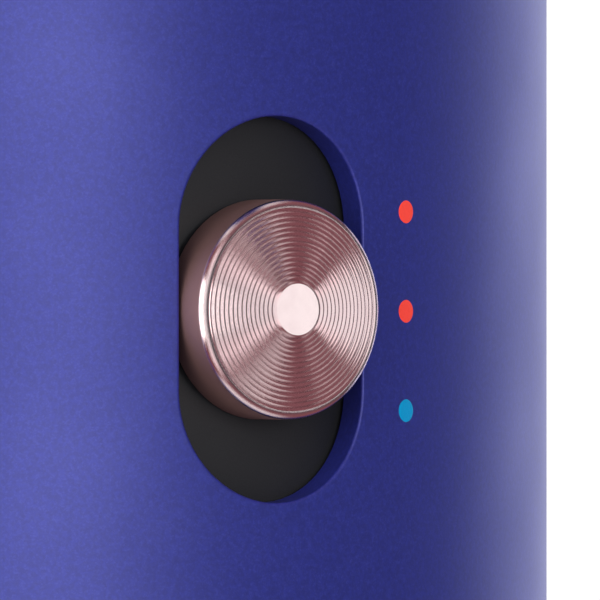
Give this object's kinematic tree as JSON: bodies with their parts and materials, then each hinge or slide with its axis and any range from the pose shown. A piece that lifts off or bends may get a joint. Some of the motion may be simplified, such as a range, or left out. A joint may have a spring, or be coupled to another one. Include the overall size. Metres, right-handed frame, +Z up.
{
  "type": "travel hair dryer",
  "caption": "Compact folding travel hair dryer: cylindrical handle with round metal thumb sliders, folding barrel, rear filter and turning concentrator nozzle.",
  "frame": {"origin": "centre of the cord gland's mouth, on the flat underside of the handle's base", "axes": "+Z up along the handle, -Y towards the user's thumb and the sliders, +Y where the air leaves"},
  "size_m": [0.06, 0.16, 0.2035],
  "materials": {
    "indigo_painted_aluminium": "satin, fine metallic",
    "indigo_plastic": "satin, fine metallic",
    "rose_aluminium": "turned, rose anodised",
    "black_plastic": "matt",
    "grey_plastic": "matt",
    "black_rubber": "matt",
    "zinc_steel": "bright zinc",
    "board_green": "solder resist",
    "component_black": "moulded",
    "lever_white": "matt",
    "wire_sheath": "matt sleeving",
    "nylon_cream": "glass filled nylon",
    "magnet_ferrite": "sintered",
    "magnet_nickel": "nickel plated",
    "rotor_copper": "enamelled copper and iron",
    "brush_carbon": "carbon",
    "mica": "mica sheet",
    "heater_wire": "oxidised resistance wire",
    "thermal_parts": "bright",
    "filter_steel": "woven mesh"
  },
  "bodies": {
    "handle": {"handle_sleeve": "indigo_painted_aluminium", "base_cap": "indigo_plastic", "cord_gland": "black_rubber", "base_screws": "zinc_steel", "cord_clamp": "grey_plastic", "clamp_screws": "zinc_steel", "chassis_front": "grey_plastic", "chassis_rear": "grey_plastic", "control_board": "board_green", "board_components": "component_black", "terminal_block": "lever_white", "voltage_switch": "component_black", "handle_trim_ring": "rose_aluminium", "hinge_knuckle": "indigo_plastic", "hinge_axle": "zinc_steel", "axle_clips": "zinc_steel", "hinge_washers": "zinc_steel", "heat_tray": "grey_plastic", "heat_switch": "component_black", "airflow_tray": "grey_plastic", "airflow_switch": "component_black", "handle_loom": "wire_sheath"},
    "barrel": {"housing_left": "indigo_plastic", "housing_right": "indigo_plastic", "hinge_cap_left": "rose_aluminium", "hinge_cap_right": "rose_aluminium", "head_connector": "lever_white", "head_loom": "wire_sheath", "front_ring": "rose_aluminium", "ring_magnets": "magnet_nickel", "rear_ring": "rose_aluminium", "intake_guard": "black_plastic", "outlet_grille": "black_plastic", "motor_mount": "nylon_cream", "motor_can": "zinc_steel", "motor_endbell": "nylon_cream", "motor_magnets": "magnet_ferrite", "motor_bearings": "zinc_steel", "motor_brushes": "brush_carbon", "heater_frame": "mica", "heater_coil": "heater_wire", "mica_tube": "mica", "tube_spacers": "mica", "thermostat": "thermal_parts", "thermal_fuse": "thermal_parts"},
    "heat_slider": {"heat_knob": "rose_aluminium", "heat_carriage": "black_plastic", "heat_switch_lever": "lever_white"},
    "airflow_slider": {"airflow_knob": "rose_aluminium", "airflow_carriage": "black_plastic", "airflow_switch_lever": "lever_white"},
    "selector": {"voltage_dial": "black_plastic"},
    "fan": {"motor_shaft": "zinc_steel", "motor_rotor": "rotor_copper", "fan_impeller": "nylon_cream"},
    "filter": {"filter_cage": "black_plastic", "filter_mesh": "filter_steel"},
    "collar": {"nozzle_collar": "black_plastic", "collar_magnets": "magnet_nickel"},
    "nozzle": {"nozzle_shell": "black_plastic"}
  },
  "joints": [
    {"name": "barrel_fold", "type": "hinge", "parent": "handle", "child": "barrel", "pos_m": [0, 0, 0.119], "axis": [-1, 0, 0], "range_deg": [0, 90]},
    {"name": "heat_slide", "type": "slide", "parent": "handle", "child": "heat_slider", "axis": [0, 0, 1], "range_m": [-0.0025, 0.0025]},
    {"name": "airflow_slide", "type": "slide", "parent": "handle", "child": "airflow_slider", "axis": [0, 0, 1], "range_m": [0, 0.005]},
    {"name": "voltage_turn", "type": "hinge", "parent": "handle", "child": "selector", "pos_m": [0, 0.019, 0.03], "axis": [0, 1, 0], "range_deg": [0, 90]},
    {"name": "fan_spin", "type": "hinge", "parent": "barrel", "child": "fan", "pos_m": [0, -0.046, 0.1735], "axis": [0, 1, 0], "continuous": true},
    {"name": "filter_pull", "type": "slide", "parent": "barrel", "child": "filter", "axis": [0, -1, 0], "range_m": [0, 0.02]},
    {"name": "nozzle_pull", "type": "slide", "parent": "barrel", "child": "collar", "axis": [0, 1, 0], "range_m": [0, 0.02]},
    {"name": "nozzle_turn", "type": "hinge", "parent": "collar", "child": "nozzle", "pos_m": [0, 0.06, 0.1735], "axis": [0, 1, 0], "continuous": true}
  ]
}
